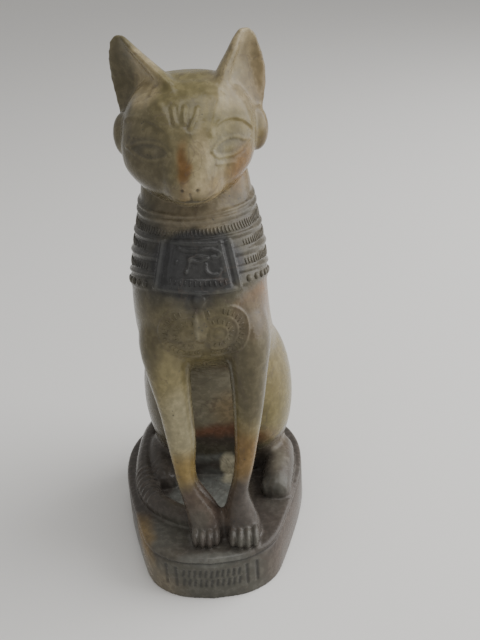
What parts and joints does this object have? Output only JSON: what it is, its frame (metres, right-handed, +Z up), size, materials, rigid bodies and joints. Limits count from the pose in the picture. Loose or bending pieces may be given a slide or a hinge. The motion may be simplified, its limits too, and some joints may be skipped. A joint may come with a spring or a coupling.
{
  "type": "seated cat figurine",
  "caption": "Upright seated temple cat with a broad collar, breast plate and winged beetle, carved in one with its low rounded plinth.",
  "frame": {"origin": "middle of the plinth's flat underside", "axes": "+Z up, the cat faces -Y and its left side is at +X"},
  "size_m": [0.0574, 0.0808, 0.1525],
  "materials": {
    "carved_stone": "polished soapstone, olive cream with dark brown and rust staining"
  },
  "bodies": {
    "root": {"bastet_cat": "carved_stone"}
  },
  "joints": []
}
